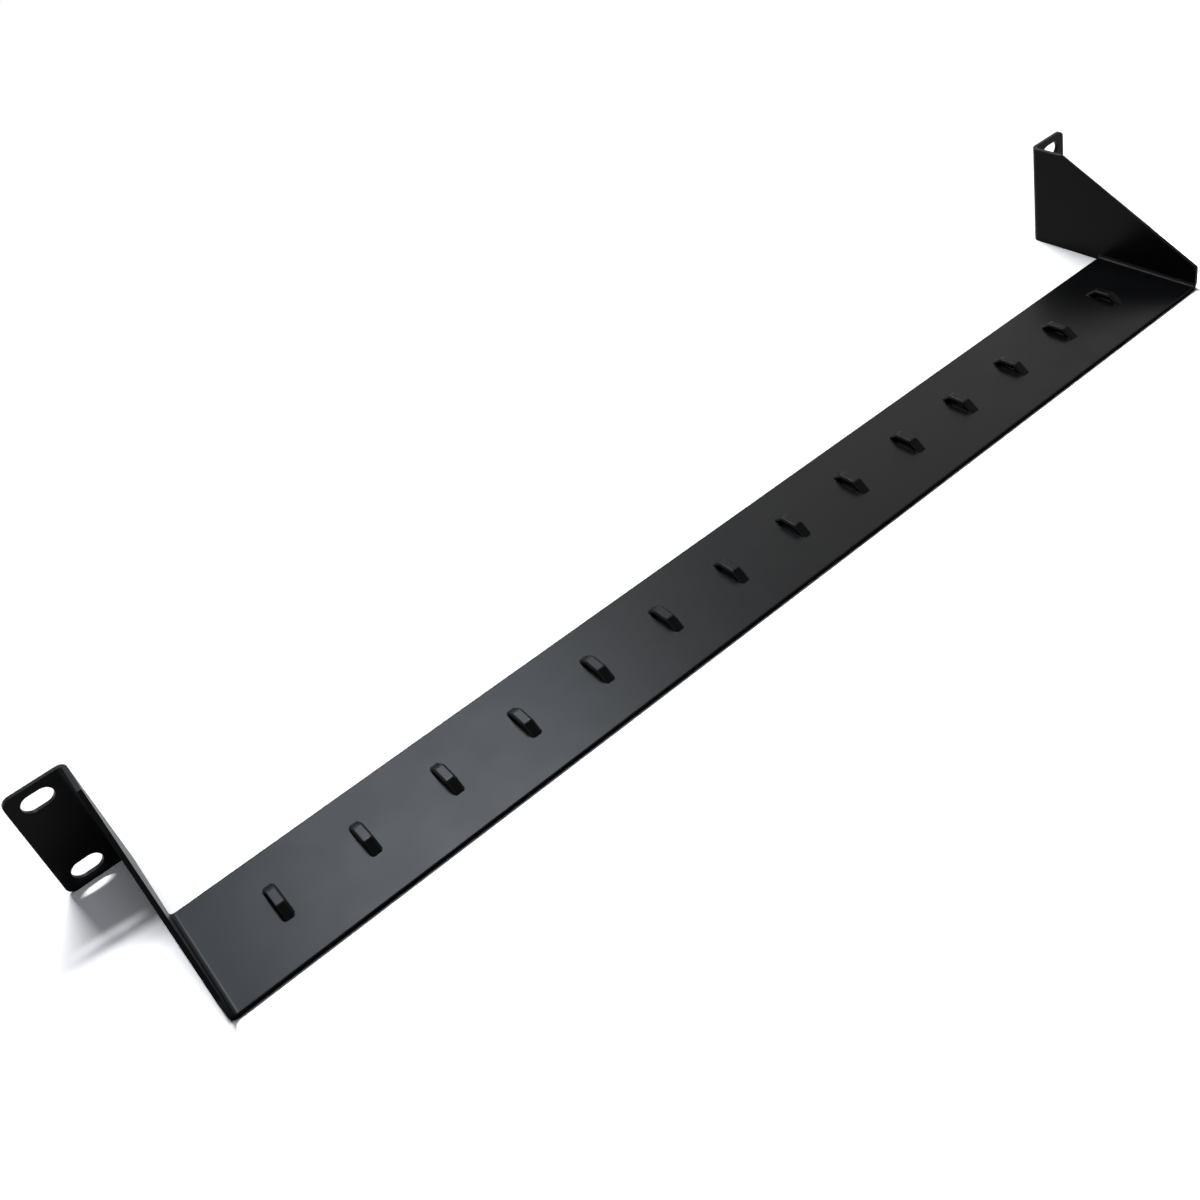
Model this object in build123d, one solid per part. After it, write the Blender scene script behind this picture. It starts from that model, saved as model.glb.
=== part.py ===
from build123d import *
import os
from math import atan2, tan

# Rack cable organizer: one folded steel sheet for a nineteen inch rack.
# X runs along the strip, Y from the strip's front edge back to the rack ears, Z up.
# The origin is midway between the strip's front edge and the back of the ears, and midway
# along the strip, on the surface that it lies on.
# All sizes are in millimetres.

# Sheet
sheet_thickness = 1.5
inside_bend_radius = 1.5

# Overall form
panel_width = 482.6
panel_height = 44.0
ear_width = 18.8
ear_standoff = 80.0
ear_corner_radius = 3.0

# Strip that carries the cables
strip_depth = 46.0

# Side arms, cut on a slope from the ears down to the strip
arm_front_height = 10.0
arm_flat_run = 14.0
arm_corner_radius = 1.0

# Open notch where a fold of the strip ends below the arm
relief_width = 0.8
relief_margin = 0.2

# Rack slots in the ears, to the nineteen inch hole pattern
slot_length = 10.0
slot_width = 6.5
slot_inset = 8.75
slot_centres_up = 31.75

# Lanced tie bridges
bridge_pitch = 30.0
bridge_end_margin = 27.5
bridge_from_front = 24.4
bridge_width = 3.9
bridge_crown = 7.6
bridge_ramp_run = 4.2
bridge_rise = 3.3
bridge_foot_flat = 0.25
bridge_bend_radius = 1.0
bridge_edge_chamfer = 0.6

# Derived sizes. While the sheet is shaped, Y is counted from the strip's front edge.
outside_bend_radius = inside_bend_radius + sheet_thickness
body_width = panel_width - 2 * ear_width
arm_outer_x = body_width / 2
arm_inner_x = arm_outer_x - sheet_thickness
ear_front_y = ear_standoff
ear_back_y = ear_standoff + sheet_thickness
slope_end_y = ear_front_y - arm_flat_run
slot_centre_x = panel_width / 2 - slot_inset
bridge_slope = atan2(bridge_rise, bridge_ramp_run)
bridge_foot = bridge_bend_radius * tan(bridge_slope / 2) + bridge_foot_flat
bridge_length = bridge_crown + 2 * bridge_ramp_run + 2 * bridge_foot


def rounded(face, corners):
    """The face with each named corner rounded: corners is a list of ((x, y), radius)."""
    for (x, y), radius in corners:
        face = fillet(face.vertices().sort_by_distance((x, y, 0))[0], radius)
    return face


def strip_and_fold_section():
    """Half of the strip with the fold up into the arm, seen from the front."""
    section = Polyline(
        (0, 0),
        (arm_outer_x, 0),
        (arm_outer_x, panel_height),
        (arm_inner_x, panel_height),
        (arm_inner_x, sheet_thickness),
        (0, sheet_thickness),
        close=True,
    )
    bends = [
        ((arm_outer_x, 0), outside_bend_radius),
        ((arm_inner_x, sheet_thickness), inside_bend_radius),
    ]
    return rounded(make_face(section), bends)


def arm_and_ear_section():
    """The arm behind the strip with the fold out into the ear, seen from above."""
    section = Polyline(
        (arm_inner_x, strip_depth),
        (arm_inner_x, ear_back_y),
        (panel_width / 2, ear_back_y),
        (panel_width / 2, ear_front_y),
        (arm_outer_x, ear_front_y),
        (arm_outer_x, strip_depth),
        close=True,
    )
    bends = [
        ((arm_inner_x, ear_back_y), outside_bend_radius),
        ((arm_outer_x, ear_front_y), inside_bend_radius),
    ]
    return rounded(make_face(section), bends)


def side_outline():
    """Side view of strip, arm and ear, which trims the arm to its slope."""
    outline = Polyline(
        (0, 0),
        (ear_back_y, 0),
        (ear_back_y, panel_height),
        (slope_end_y, panel_height),
        (0, arm_front_height),
        close=True,
    )
    corners = [
        ((0, arm_front_height), arm_corner_radius),
        ((slope_end_y, panel_height), arm_corner_radius),
    ]
    return rounded(make_face(outline), corners)


def fold_relief():
    """Round-ended notch behind the strip, up through the fold and past its bend line."""
    round_centre = outside_bend_radius + relief_margin - relief_width / 2
    notch = Rectangle(relief_width, 2 * round_centre)
    notch += Pos(0, round_centre) * Circle(relief_width / 2)
    plane = Plane.YZ.offset(arm_inner_x - sheet_thickness)
    return extrude(plane * Pos(strip_depth + relief_width / 2, 0) * notch, 3 * sheet_thickness)


def rack_slots():
    """The two slots of one ear, long side across the rack."""
    plane = Plane.XZ.offset(-ear_back_y - sheet_thickness)
    slot = SlotOverall(slot_length, slot_width)
    places = [
        Pos(slot_centre_x, panel_height / 2 + slot_centres_up / 2),
        Pos(slot_centre_x, panel_height / 2 - slot_centres_up / 2),
    ]
    return [extrude(plane * place * slot, 3 * sheet_thickness) for place in places]


def half_body():
    """The half of the folded sheet on the +X side, without the bridges."""
    front = extrude(Plane.XZ * strip_and_fold_section(), -strip_depth)
    rear = extrude(arm_and_ear_section(), panel_height)
    body = (front + rear) & extrude(Plane.YZ * side_outline(), panel_width)
    body -= fold_relief()
    ear_corners = body.edges().filter_by(Axis.Y).group_by(Axis.X)[-1]
    body = fillet(ear_corners, ear_corner_radius)
    return body - rack_slots()


def bridge_section():
    """Side view of one bridge: foot, ramp, flat crown, ramp, foot, one sheet thick."""
    foot = bridge_length / 2
    ramp = bridge_crown / 2 + bridge_ramp_run
    crown = bridge_crown / 2
    inset = sheet_thickness * tan(bridge_slope / 2)
    top = sheet_thickness + bridge_rise
    section = Polyline(
        (-foot, sheet_thickness),
        (-ramp, sheet_thickness),
        (-crown, top),
        (crown, top),
        (ramp, sheet_thickness),
        (foot, sheet_thickness),
        (foot, 0),
        (ramp - inset, 0),
        (crown - inset, bridge_rise),
        (inset - crown, bridge_rise),
        (inset - ramp, 0),
        (-foot, 0),
        close=True,
    )
    tight = bridge_bend_radius
    wide = bridge_bend_radius + sheet_thickness
    bends = []
    for side in (-1, 1):
        bends += [
            ((side * ramp, sheet_thickness), tight),
            ((side * crown, top), wide),
            ((side * (ramp - inset), 0), wide),
            ((side * (crown - inset), bridge_rise), tight),
        ]
    return rounded(make_face(section), bends)


def bridge():
    """One bridge, pressed up out of the strip. Its long upper edges are drawn over above the strip,
    and within the strip's thickness it stays full where it has not yet sheared free."""
    strap = extrude(Plane.YZ.offset(-bridge_width / 2) * bridge_section(), bridge_width)
    in_strip = strap & Pos(0, 0, sheet_thickness / 2) * Box(
        2 * bridge_width, 2 * bridge_length, sheet_thickness
    )
    upper_faces = [face for face in strap.faces() if face.normal_at().Z > 0.1]
    upper_edges = ShapeList([edge for face in upper_faces for edge in face.edges()])
    long_edges = upper_edges.filter_by(lambda edge: abs(edge.center().X) > bridge_width / 2 - 1e-3)
    return chamfer(long_edges, bridge_edge_chamfer) + in_strip


def bridge_opening():
    """The length of strip that one bridge is pressed out of, sheared along both sides."""
    return Pos(0, 0, sheet_thickness / 2) * Box(bridge_width, bridge_length, 3 * sheet_thickness)


def bridge_places():
    """Evenly pitched places along the strip, as many as fit between the end margins."""
    usable = body_width - 2 * bridge_end_margin
    count = int(usable / bridge_pitch + 1e-6) + 1
    first = -(count - 1) * bridge_pitch / 2
    return [Pos(first + i * bridge_pitch, bridge_from_front, 0) for i in range(count)]


def cable_organizer():
    """The whole folded sheet as one solid."""
    half = half_body()
    body = half + mirror(half, about=Plane.YZ)
    one_opening = bridge_opening()
    one_bridge = bridge()
    places = bridge_places()
    body -= [place * one_opening for place in places]
    body += [place * one_bridge for place in places]
    return Pos(0, -ear_back_y / 2, 0) * body


organizer = cable_organizer()
organizer.label = "cable_organizer"
os.makedirs("parts", exist_ok=True)
export_step(organizer, "parts/cable_organizer.step")
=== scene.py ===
from math import pi, radians, sin

import bpy
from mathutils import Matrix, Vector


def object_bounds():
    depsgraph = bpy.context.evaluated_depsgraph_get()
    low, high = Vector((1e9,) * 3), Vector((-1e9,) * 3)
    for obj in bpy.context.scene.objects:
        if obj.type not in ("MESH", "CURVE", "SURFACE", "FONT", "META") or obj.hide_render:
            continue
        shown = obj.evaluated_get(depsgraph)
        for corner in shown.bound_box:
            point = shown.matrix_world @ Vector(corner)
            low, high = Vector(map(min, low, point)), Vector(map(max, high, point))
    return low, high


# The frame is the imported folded-sheet cable organizer. Everything below is in metres in its frame.
# X runs along the strip, Y from the strip's front edge towards the rack ears, and Z up.
# The origin is midway along the strip and midway between its front edge and the back of the ears,
# on the surface that it lies on.
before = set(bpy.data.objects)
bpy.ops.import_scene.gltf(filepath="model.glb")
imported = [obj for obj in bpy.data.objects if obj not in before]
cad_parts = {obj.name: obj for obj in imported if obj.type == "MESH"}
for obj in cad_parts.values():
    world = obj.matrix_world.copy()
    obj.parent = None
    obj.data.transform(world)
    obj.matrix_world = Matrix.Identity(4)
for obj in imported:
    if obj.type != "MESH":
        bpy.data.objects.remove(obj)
cad_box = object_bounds()

bl_info = {
    "name": "Rack cable organizer looks",
    "version": (1, 0, 0),
    "blender": (4, 5, 0),
    "location": "3D View > Sidebar > Rack organizer",
    "description": "Powder coats a folded steel cable organizer and sets up its table, lamps and camera",
    "category": "Object",
}

MM = 0.001
WHITE = (1.0, 1.0, 1.0, 1.0)


def linear(hex_colour):
    """The linear RGB of an sRGB hex colour such as #1c1d1f."""
    parts = [int(hex_colour[i : i + 2], 16) / 255 for i in (1, 3, 5)]
    return [c / 12.92 if c <= 0.04045 else ((c + 0.055) / 1.055) ** 2.4 for c in parts]


def add_node(tree, kind, inputs=None, **settings):
    """Adds a node and sets its properties. Its inputs are given by name or number, each as a value or as
    the socket that it is linked to."""
    node = tree.nodes.new(kind)
    for name, value in settings.items():
        setattr(node, name, value)
    for name, value in (inputs or {}).items():
        if isinstance(value, bpy.types.NodeSocket):
            tree.links.new(value, node.inputs[name])
        else:
            node.inputs[name].default_value = value
    return node


def new_material(name):
    """An empty node material, its tree and its output node."""
    material = bpy.data.materials.new(name)
    material.use_nodes = True
    material.node_tree.nodes.clear()
    output = material.node_tree.nodes.new("ShaderNodeOutputMaterial")
    return material, material.node_tree, output


class PowderCoatSettings(bpy.types.PropertyGroup):
    """The black powder coat on the folded steel sheet."""

    colour: bpy.props.FloatVectorProperty(
        name="Coat colour",
        description="Colour of the cured powder in plain light",
        subtype="COLOR",
        default=linear("#070708"),
        min=0.0,
        max=1.0,
    )
    roughness: bpy.props.FloatProperty(
        name="Roughness",
        description="0 is a mirror and 1 is fully matt; this coat is semi-gloss",
        default=0.31,
        min=0.0,
        max=1.0,
        subtype="FACTOR",
    )
    gloss: bpy.props.FloatProperty(
        name="Gloss level",
        description="Strength of the surface reflection, where 0.5 is clean varnish of the same index",
        default=0.1,
        min=0.0,
        max=1.0,
        subtype="FACTOR",
    )
    ripple_pitch: bpy.props.FloatProperty(
        name="Orange peel pitch",
        description="Distance from crest to crest of the ripple that the powder leaves as it melts",
        default=1.6 * MM,
        min=0.1 * MM,
        max=20 * MM,
        precision=5,
        unit="LENGTH",
    )
    ripple_height: bpy.props.FloatProperty(
        name="Orange peel height",
        description="Height of the ripple from trough to crest",
        default=0.006 * MM,
        min=0.0,
        max=0.5 * MM,
        precision=6,
        unit="LENGTH",
    )
    edge_rounding: bpy.props.FloatProperty(
        name="Edge rounding",
        description="Radius that deburring and the coat leave along the sheet's edges",
        default=0.5 * MM,
        min=0.0,
        max=0.7 * MM,
        precision=5,
        unit="LENGTH",
    )


class StageSettings(bpy.types.PropertyGroup):
    """The white table, the room, the lamps, the lit cards that show in the gloss, and the camera."""

    floor_colour: bpy.props.FloatVectorProperty(
        name="Table colour",
        description="Colour of the plain white table",
        subtype="COLOR",
        default=linear("#e6e6e6"),
        min=0.0,
        max=1.0,
    )
    floor_exposure: bpy.props.FloatProperty(
        name="Table exposure",
        description="How much lighter than lit the camera is shown the table behind the strip",
        default=1.6,
        min=1.0,
        max=2.0,
    )
    front_exposure: bpy.props.FloatProperty(
        name="Table exposure in front",
        description="The same beside the strip and in front of it, where no shadow of the ears falls",
        default=3.2,
        min=1.0,
        max=4.0,
    )
    # Reach of the painted contact shadow, which darkens the table's colour near the strip's edge.
    painted_shadow_reach: bpy.props.FloatProperty(
        name="Contact shadow reach",
        description="How far the dark contact shadow reaches from the strip's edge over the table",
        default=1.8 * MM,
        min=0.0,
        max=50 * MM,
        precision=5,
        unit="LENGTH",
    )
    covered_size: bpy.props.FloatVectorProperty(
        name="Covered size",
        description="Length and depth of the table that the strip covers, from its front edge back",
        size=2,
        default=(438 * MM, 45 * MM),
        precision=4,
        unit="LENGTH",
    )
    # Painted shade: under the strip the table's colour is darkened to this share, so the tie bridges'
    # openings look dark.
    painted_shade_level: bpy.props.FloatProperty(
        name="Light under the strip",
        description="Share of the light that reaches the table through the tie bridges' openings",
        default=0.12,
        min=0.0,
        max=1.0,
        subtype="FACTOR",
    )
    room_level: bpy.props.FloatProperty(
        name="Room level",
        description="Brightness of the walls in the light that they shed on matt surfaces",
        default=0.05,
        min=0.0,
        max=2.0,
    )
    walls_up_to: bpy.props.FloatProperty(
        name="Walls up to",
        description="Height of the walls' upper edge as seen from the table, in degrees",
        default=45.0,
        min=15.0,
        max=75.0,
    )
    ceiling_level: bpy.props.FloatProperty(
        name="Ceiling level",
        description="Brightness of the ceiling as a share of the walls",
        default=0.2,
        min=0.0,
        max=1.0,
        subtype="FACTOR",
    )
    key_place: bpy.props.FloatVectorProperty(
        name="Strip lamp place",
        description="Centre of the long lamp high behind the organizer",
        subtype="TRANSLATION",
        default=(0.85, 5.54, 8.3),
        unit="LENGTH",
    )
    key_size: bpy.props.FloatVectorProperty(
        name="Strip lamp size",
        description="Length along the rack and width of the strip lamp",
        size=2,
        default=(3.9, 0.7),
        unit="LENGTH",
    )
    key_level: bpy.props.FloatProperty(
        name="Strip lamp level",
        description="Light that it brings to a level surface, where 1 shows a colour as written",
        default=0.8,
        min=0.0,
        max=2.0,
    )
    key_colour: bpy.props.FloatVectorProperty(
        name="Strip lamp colour",
        description="Colour of the strip lamp, a daylight white",
        subtype="COLOR",
        default=linear("#fafcff"),
        min=0.0,
        max=1.0,
    )
    overhead_place: bpy.props.FloatVectorProperty(
        name="Overhead lamp place",
        description="Centre of the soft lamp above the table, which fills the shadows",
        subtype="TRANSLATION",
        default=(0.0, -0.4, 3.0),
        unit="LENGTH",
    )
    overhead_size: bpy.props.FloatVectorProperty(
        name="Overhead lamp size",
        description="Length and width of the overhead lamp",
        size=2,
        default=(1.6, 1.0),
        unit="LENGTH",
    )
    overhead_level: bpy.props.FloatProperty(
        name="Overhead lamp level",
        description="Light that it brings to a level surface, where 1 shows a colour as written",
        default=0.145,
        min=0.0,
        max=2.0,
    )
    overhead_colour: bpy.props.FloatVectorProperty(
        name="Overhead lamp colour",
        description="Colour of the overhead lamp, a faintly cool white",
        subtype="COLOR",
        default=linear("#f1f4ff"),
        min=0.0,
        max=1.0,
    )
    window_place: bpy.props.FloatVectorProperty(
        name="Window card place",
        description="Centre of the wide card that the strip mirrors like a window behind it",
        subtype="TRANSLATION",
        default=(0.255, 1.965, 2.247),
        unit="LENGTH",
    )
    window_size: bpy.props.FloatVectorProperty(
        name="Window card size",
        description="Length along the rack and width of the window card",
        size=2,
        default=(1.04, 0.63),
        unit="LENGTH",
    )
    window_brightness: bpy.props.FloatProperty(
        name="Window card brightness",
        description="Brightness of the window card in a mirror, where 1 is white",
        default=18.5,
        min=0.0,
        max=100.0,
    )
    window_colour: bpy.props.FloatVectorProperty(
        name="Window card colour",
        description="Colour of the window card, the blue-white of an overcast sky",
        subtype="COLOR",
        default=linear("#dfeeff"),
        min=0.0,
        max=1.0,
    )
    top_place: bpy.props.FloatVectorProperty(
        name="Top card place",
        description="Centre of the bright card over the window card, which shows in the bridges' bends",
        subtype="TRANSLATION",
        default=(0.32, 1.5, 2.56),
        unit="LENGTH",
    )
    top_size: bpy.props.FloatVectorProperty(
        name="Top card size",
        description="Length along the rack and width of the top card",
        size=2,
        default=(0.66, 0.3),
        unit="LENGTH",
    )
    top_brightness: bpy.props.FloatProperty(
        name="Top card brightness",
        description="Brightness of the top card in a mirror, where 1 is white",
        default=80.0,
        min=0.0,
        max=100.0,
    )
    top_colour: bpy.props.FloatVectorProperty(
        name="Top card colour",
        description="Colour of the top card, a neutral white",
        subtype="COLOR",
        default=linear("#ffffff"),
        min=0.0,
        max=1.0,
    )
    side_place: bpy.props.FloatVectorProperty(
        name="Side card place",
        description="Centre of the dimmer card behind the right end",
        subtype="TRANSLATION",
        default=(1.5, 1.859, 1.8),
        unit="LENGTH",
    )
    side_size: bpy.props.FloatVectorProperty(
        name="Side card size",
        description="Length and width of the side card",
        size=2,
        default=(2.42, 0.95),
        unit="LENGTH",
    )
    side_brightness: bpy.props.FloatProperty(
        name="Side card brightness",
        description="Brightness of the side card in a mirror, where 1 is white",
        default=1.13,
        min=0.0,
        max=30.0,
    )
    side_colour: bpy.props.FloatVectorProperty(
        name="Side card colour",
        description="Colour of the side card, a neutral white",
        subtype="COLOR",
        default=linear("#ffffff"),
        min=0.0,
        max=1.0,
    )
    camera_place: bpy.props.FloatVectorProperty(
        name="Camera place",
        description="Lens of the camera in the organizer's frame",
        subtype="TRANSLATION",
        default=(-0.20867, -0.30706, 0.31017),
        unit="LENGTH",
    )
    camera_turn: bpy.props.FloatVectorProperty(
        name="Camera turn",
        description="Pitch, roll and heading of the camera",
        subtype="EULER",
        default=(radians(51.285), radians(10.894), radians(-40.003)),
    )
    camera_lens: bpy.props.FloatProperty(
        name="Focal length",
        description="Focal length in millimetres on a sensor 36 mm wide",
        default=40.124,
        min=1.0,
    )
    camera_shift: bpy.props.FloatVectorProperty(
        name="Lens shift",
        description="How far the photograph's frame lies off the optical axis, in widths of the frame",
        size=2,
        default=(-0.0597, -0.0835),
    )


def powder_coat(coat):
    """Black polyester powder coat, sprayed on as dry powder and baked. It melts into a thick, even skin
    with a faint orange-peel ripple, so reflections are soft but keep their place. Its polish drifts
    slightly from place to place. It draws over every cut edge, which catches a thin line of light."""
    drift_pitch = 14 * MM
    drift_low, drift_high = 0.3, 0.7
    roughness_drift = 0.02
    material, tree, output = new_material("black_powder_coat")
    place = add_node(tree, "ShaderNodeTexCoord").outputs["Object"]
    ripple = add_node(
        tree,
        "ShaderNodeTexNoise",
        {"Vector": place, "Scale": 1 / coat.ripple_pitch, "Detail": 2.0, "Roughness": 0.45},
    )
    edge = add_node(tree, "ShaderNodeBevel", {"Radius": coat.edge_rounding}, samples=6)
    skin = add_node(
        tree,
        "ShaderNodeBump",
        {
            "Height": ripple.outputs["Fac"],
            "Normal": edge.outputs["Normal"],
            "Strength": 1.0,
            "Distance": coat.ripple_height,
        },
    )
    drift = add_node(
        tree,
        "ShaderNodeTexNoise",
        {"Vector": place, "Scale": 1 / drift_pitch, "Detail": 3.0, "Roughness": 0.6},
    )
    polish = add_node(
        tree,
        "ShaderNodeMapRange",
        {
            "Value": drift.outputs["Fac"],
            "From Min": drift_low,
            "From Max": drift_high,
            "To Min": coat.roughness - roughness_drift,
            "To Max": coat.roughness + roughness_drift,
        },
    )
    shader = add_node(
        tree,
        "ShaderNodeBsdfPrincipled",
        {
            "Base Color": (*coat.colour, 1.0),
            "Metallic": 0.0,
            "Roughness": polish.outputs["Result"],
            "IOR": 1.5,
            "Specular IOR Level": coat.gloss,
            "Normal": skin.outputs["Normal"],
        },
    )
    tree.links.new(shader.outputs["BSDF"], output.inputs["Surface"])
    return material


def laminate_table(stage):
    """White matt laminate, pressed flat. It gives an even white with no gloss, on which shadows show.
    Away from the organizer it passes over into plain white for the camera and for reflections."""
    material, tree, output = new_material("white_matt_laminate")
    place = add_node(tree, "ShaderNodeTexCoord").outputs["Object"]
    colour = add_node(
        tree,
        "ShaderNodeVectorMath",
        {0: stage.floor_colour, "Scale": shown_level(tree, place, stage)},
        operation="SCALE",
    )
    matt = add_node(tree, "ShaderNodeBsdfDiffuse", {"Color": colour.outputs["Vector"]})
    plain = add_node(tree, "ShaderNodeEmission", {"Color": WHITE, "Strength": 1.0})
    surface = add_node(
        tree,
        "ShaderNodeMixShader",
        {
            "Fac": share_of_plain_white(tree, place),
            1: matt.outputs["BSDF"],
            2: plain.outputs["Emission"],
        },
    )
    tree.links.new(surface.outputs["Shader"], output.inputs["Surface"])
    return material


def share_of_plain_white(tree, place):
    """How far the table has passed over into plain white: not at all within an oval round the
    organizer, wholly from half as far out again, and only for the rays that show a background."""
    oval_radii = (0.36, 0.2, 1.0)
    wholly_from = 1.5
    in_radii = add_node(tree, "ShaderNodeVectorMath", {0: place, 1: oval_radii}, operation="DIVIDE")
    distance = add_node(
        tree,
        "ShaderNodeVectorMath",
        {0: in_radii.outputs["Vector"]},
        operation="LENGTH",
    )
    fade = add_node(
        tree,
        "ShaderNodeMapRange",
        {"Value": distance.outputs["Value"], "From Min": 1.0, "From Max": wholly_from},
        interpolation_type="SMOOTHSTEP",
    )
    share = add_node(
        tree,
        "ShaderNodeMath",
        {0: fade.outputs["Result"], 1: background_rays(tree)},
        operation="MULTIPLY",
    )
    return share.outputs["Value"]


def background_rays(tree):
    """1 for the rays that show a background, straight from the camera or by way of gloss or glass."""
    path = add_node(tree, "ShaderNodeLightPath")
    shows = path.outputs["Is Camera Ray"]
    for by_way_of in ("Is Glossy Ray", "Is Transmission Ray"):
        either = add_node(
            tree,
            "ShaderNodeMath",
            {0: shows, 1: path.outputs[by_way_of]},
            operation="MAXIMUM",
        )
        shows = either.outputs["Value"]
    return shows


def shown_level(tree, place, stage):
    """How light the table is shown near the organizer, where 1 is as it is lit. The camera sees it
    lighter, and a painted contact shadow along the strip and painted shade under it darken its colour for
    every ray. Gloss shows it without the extra lightness, which is white already."""
    level = camera_exposure(tree, place, stage)
    for factor in (painted_contact_shadow(tree, place, stage), painted_shade_under_strip(tree, place, stage)):
        product = add_node(tree, "ShaderNodeMath", {0: level, 1: factor}, operation="MULTIPLY")
        level = product.outputs["Value"]
    return level


def covered_back(stage):
    """How far back the strip covers the table."""
    return cad_box[0][1] + stage.covered_size[1]


def camera_exposure(tree, place, stage):
    """How much lighter than lit the camera is shown the table, so that it reads as a clean white. It is
    lightest from the strip's back edge forward, and less light behind, where the ears' shadows show."""
    light_until = covered_back(stage) - 10 * MM
    shadows_from = covered_back(stage) + 4 * MM
    back = add_node(tree, "ShaderNodeSeparateXYZ", {"Vector": place}).outputs["Y"]
    exposure = add_node(
        tree,
        "ShaderNodeMapRange",
        {
            "Value": back,
            "From Min": light_until,
            "From Max": shadows_from,
            "To Min": stage.front_exposure,
            "To Max": stage.floor_exposure,
        },
        interpolation_type="SMOOTHSTEP",
    )
    by_camera = add_node(tree, "ShaderNodeLightPath").outputs["Is Camera Ray"]
    shown = add_node(
        tree,
        "ShaderNodeMapRange",
        {"Value": by_camera, "To Min": 1.0, "To Max": exposure.outputs["Result"]},
    )
    return shown.outputs["Result"]


def painted_contact_shadow(tree, place, stage):
    """The thin dark line where the strip lies on the table. It ends at the strip's back edge, because
    the photograph shows none beside the arms."""
    # Painted shade: ambient occlusion darkens the table's colour near the strip's edge, drawn as a
    # contact shadow.
    openness_at_edge = 0.64
    fade_out = 1 * MM
    openness = add_node(
        tree,
        "ShaderNodeAmbientOcclusion",
        {"Distance": stage.painted_shadow_reach},
        samples=12,
    )
    painted_shadow = add_node(
        tree,
        "ShaderNodeMapRange",
        {"Value": openness.outputs["AO"], "From Min": openness_at_edge, "From Max": 1.0},
    )
    back = add_node(tree, "ShaderNodeSeparateXYZ", {"Vector": place}).outputs["Y"]
    drawn = add_node(
        tree,
        "ShaderNodeMapRange",
        {
            "Value": back,
            "From Min": covered_back(stage) - fade_out,
            "From Max": covered_back(stage),
            "To Min": painted_shadow.outputs["Result"],
            "To Max": 1.0,
        },
    )
    return drawn.outputs["Result"]


def painted_shade_under_strip(tree, place, stage):
    """Painted shade under the strip: the table's colour is darkened where the tie bridges' openings show
    it, and left at 1 beside the strip."""
    length, depth = stage.covered_size
    centre = (0.0, covered_back(stage) - depth / 2, 0.0)
    half_size = (length / 2, depth / 2, 1.0)
    from_centre = add_node(tree, "ShaderNodeVectorMath", {0: place, 1: centre}, operation="SUBTRACT")
    in_halves = add_node(
        tree,
        "ShaderNodeVectorMath",
        {0: from_centre.outputs["Vector"], 1: half_size},
        operation="DIVIDE",
    )
    distance = add_node(
        tree,
        "ShaderNodeVectorMath",
        {0: in_halves.outputs["Vector"]},
        operation="ABSOLUTE",
    )
    sides = add_node(tree, "ShaderNodeSeparateXYZ", {"Vector": distance.outputs["Vector"]})
    farther = add_node(
        tree,
        "ShaderNodeMath",
        {0: sides.outputs["X"], 1: sides.outputs["Y"]},
        operation="MAXIMUM",
    )
    beside = add_node(
        tree,
        "ShaderNodeMath",
        {0: farther.outputs["Value"], 1: 1.0},
        operation="GREATER_THAN",
    )
    # Painted shade: the table's colour is multiplied by this painted level under the strip.
    light = add_node(
        tree,
        "ShaderNodeMapRange",
        {"Value": beside.outputs["Value"], "To Min": stage.painted_shade_level, "To Max": 1.0},
    )
    return light.outputs["Result"]


def light_room(stage):
    """A room with white walls and a darker ceiling. It lights everything softly from all round, and it is
    plain white where the camera looks at it."""
    degrees_below, degrees_above = 10, 15
    walls_end = sin(radians(stage.walls_up_to - degrees_below))
    ceiling_starts = sin(radians(stage.walls_up_to + degrees_above))
    world = bpy.data.worlds.new("plain_room")
    bpy.context.scene.world = world
    world.use_nodes = True
    tree = world.node_tree
    tree.nodes.clear()
    look = add_node(tree, "ShaderNodeTexCoord").outputs["Generated"]
    height = add_node(tree, "ShaderNodeSeparateXYZ", {"Vector": look}).outputs["Z"]
    walls = add_node(
        tree,
        "ShaderNodeMapRange",
        {
            "Value": height,
            "From Min": walls_end,
            "From Max": ceiling_starts,
            "To Min": 1.0,
            "To Max": stage.ceiling_level,
        },
        interpolation_type="SMOOTHSTEP",
    )
    level = add_node(
        tree,
        "ShaderNodeMapRange",
        {"Value": background_rays(tree), "To Min": stage.room_level, "To Max": 1.0},
    )
    room = add_node(
        tree,
        "ShaderNodeMath",
        {0: walls.outputs["Result"], 1: level.outputs["Result"]},
        operation="MULTIPLY",
    )
    by_camera = add_node(tree, "ShaderNodeLightPath").outputs["Is Camera Ray"]
    strength = add_node(
        tree,
        "ShaderNodeMath",
        {0: room.outputs["Value"], 1: by_camera},
        operation="MAXIMUM",
    )
    background = add_node(
        tree,
        "ShaderNodeBackground",
        {"Color": WHITE, "Strength": strength.outputs["Value"]},
    )
    output = tree.nodes.new("ShaderNodeOutputWorld")
    tree.links.new(background.outputs["Background"], output.inputs["Surface"])


def add_area(name, place, size, watts, colour):
    """A rectangular area light aimed at the organizer's centre. Its radiance is its watts divided by pi
    times its area."""
    light = bpy.data.lights.new(name, "AREA")
    light.shape = "RECTANGLE"
    light.size, light.size_y = size
    light.color = colour
    light.energy = watts
    holder = bpy.data.objects.new(name, light)
    bpy.context.scene.collection.objects.link(holder)
    holder.location = place
    holder.rotation_euler = (-place).to_track_quat("-Z", "Y").to_euler()
    return holder


def add_lamp(name, place, size, level, colour):
    """A soft lamp that lights a level surface at the organizer's centre to the given level. It is left
    out of the gloss, which shows the lit cards instead."""
    slant = place.normalized().z
    lamp = add_area(name, place, size, level * pi * pi * place.length_squared / slant, colour)
    lamp.visible_glossy = False


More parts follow.
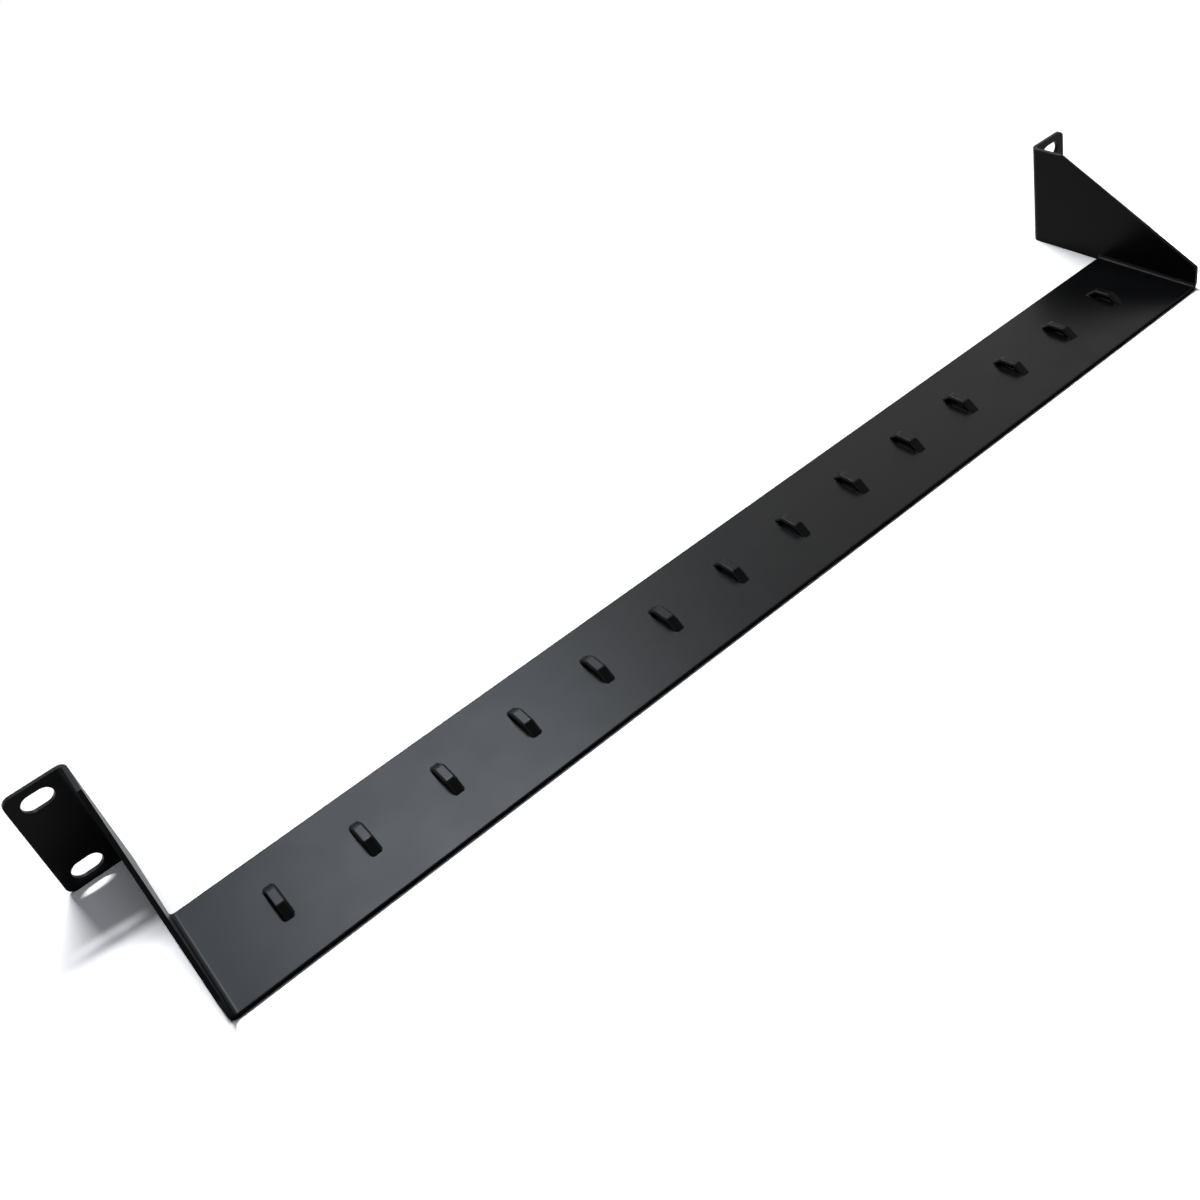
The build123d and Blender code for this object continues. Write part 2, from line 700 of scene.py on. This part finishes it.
def add_card(name, place, size, brightness, colour):
    """A lit card that shows in gloss alone, at the given brightness, and adds nothing to the light."""
    length, width = size
    card = add_area(name, place, size, brightness * pi * length * width, colour)
    card.visible_diffuse = False


def add_camera(stage):
    """The camera at the photograph's viewpoint."""
    data = bpy.data.cameras.new("camera")
    data.sensor_width = 36.0
    data.lens = stage.camera_lens
    data.shift_x, data.shift_y = stage.camera_shift
    data.clip_start = 10 * MM
    camera = bpy.data.objects.new("camera", data)
    bpy.context.scene.collection.objects.link(camera)
    camera.location = stage.camera_place
    camera.rotation_euler = stage.camera_turn
    bpy.context.scene.camera = camera


def add_floor(stage):
    """The table top, just under the strip."""
    half = 4.0
    clearance = 0.02 * MM
    corners = [(-half, -half, 0), (half, -half, 0), (half, half, 0), (-half, half, 0)]
    mesh = bpy.data.meshes.new("table")
    mesh.from_pydata(corners, [], [(0, 1, 2, 3)])
    mesh.materials.append(laminate_table(stage))
    table = bpy.data.objects.new("table", mesh)
    table.location.z = -clearance
    bpy.context.scene.collection.objects.link(table)


class ORGANIZER_OT_coat(bpy.types.Operator):
    """Give the folded sheet its black powder coat"""

    bl_idname = "organizer.coat"
    bl_label = "Powder coat the organizer"

    def execute(self, context):
        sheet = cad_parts["cable_organizer"]
        material = powder_coat(context.scene.powder_coat)
        sheet.data.materials.clear()
        sheet.data.materials.append(material)
        return {"FINISHED"}


class ORGANIZER_OT_stage(bpy.types.Operator):
    """Set up the white table, the room, the lamps, the lit cards and the camera"""

    bl_idname = "organizer.stage"
    bl_label = "Build the stage"

    def execute(self, context):
        stage = context.scene.organizer_stage
        add_floor(stage)
        light_room(stage)
        add_lamp("strip_lamp", stage.key_place, stage.key_size, stage.key_level, stage.key_colour)
        add_lamp(
            "overhead_lamp",
            stage.overhead_place,
            stage.overhead_size,
            stage.overhead_level,
            stage.overhead_colour,
        )
        add_card(
            "window_card",
            stage.window_place,
            stage.window_size,
            stage.window_brightness,
            stage.window_colour,
        )
        add_card(
            "top_card",
            stage.top_place,
            stage.top_size,
            stage.top_brightness,
            stage.top_colour,
        )
        add_card(
            "side_card",
            stage.side_place,
            stage.side_size,
            stage.side_brightness,
            stage.side_colour,
        )
        add_camera(stage)
        context.scene.view_settings.view_transform = "Standard"
        return {"FINISHED"}


class VIEW3D_PT_organizer(bpy.types.Panel):
    """Lists the organizer's finish and stage"""

    bl_label = "Rack organizer"
    bl_space_type = "VIEW_3D"
    bl_region_type = "UI"
    bl_category = "Rack organizer"

    def draw(self, context):
        layout = self.layout
        for settings, operator in (
            (context.scene.powder_coat, ORGANIZER_OT_coat),
            (context.scene.organizer_stage, ORGANIZER_OT_stage),
        ):
            box = layout.box()
            for name in settings.__annotations__:
                box.prop(settings, name)
            box.operator(operator.bl_idname)


CLASSES = (
    PowderCoatSettings,
    StageSettings,
    ORGANIZER_OT_coat,
    ORGANIZER_OT_stage,
    VIEW3D_PT_organizer,
)


def register():
    for cls in CLASSES:
        bpy.utils.register_class(cls)
    bpy.types.Scene.powder_coat = bpy.props.PointerProperty(type=PowderCoatSettings)
    bpy.types.Scene.organizer_stage = bpy.props.PointerProperty(type=StageSettings)


def unregister():
    del bpy.types.Scene.organizer_stage
    del bpy.types.Scene.powder_coat
    for cls in reversed(CLASSES):
        bpy.utils.unregister_class(cls)


def main():
    """Coats the organizer and builds the stage."""
    register()
    bpy.ops.organizer.coat()
    bpy.ops.organizer.stage()


if __name__ == "__main__":
    main()
